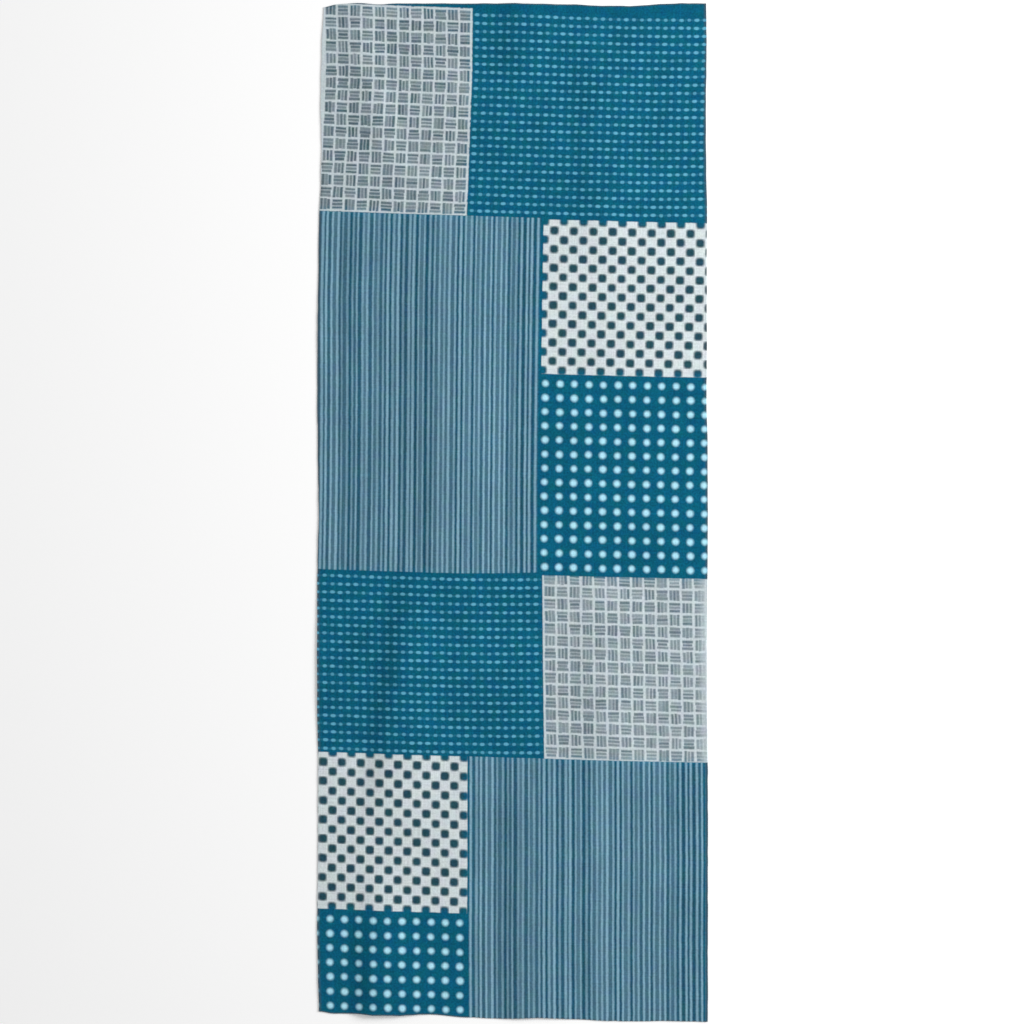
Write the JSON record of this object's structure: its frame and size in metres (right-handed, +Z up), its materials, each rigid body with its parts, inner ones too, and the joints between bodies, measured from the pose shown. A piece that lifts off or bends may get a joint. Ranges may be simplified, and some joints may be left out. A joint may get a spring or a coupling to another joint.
{
  "type": "tenugui towel",
  "caption": "Long narrow printed cotton hand towel laid flat with soft ripples, cut ends and a patchwork of small traditional repeats.",
  "frame": {"origin": "middle of the underside of the cloth, on the surface that it lies on", "axes": "+X across the cloth to the right, +Y along it to the top end, +Z up out of its face"},
  "size_m": [0.346, 0.902, 0.0052],
  "materials": {
    "dyed_cotton": "matte"
  },
  "bodies": {
    "root": {"cloth": "dyed_cotton"}
  },
  "joints": []
}
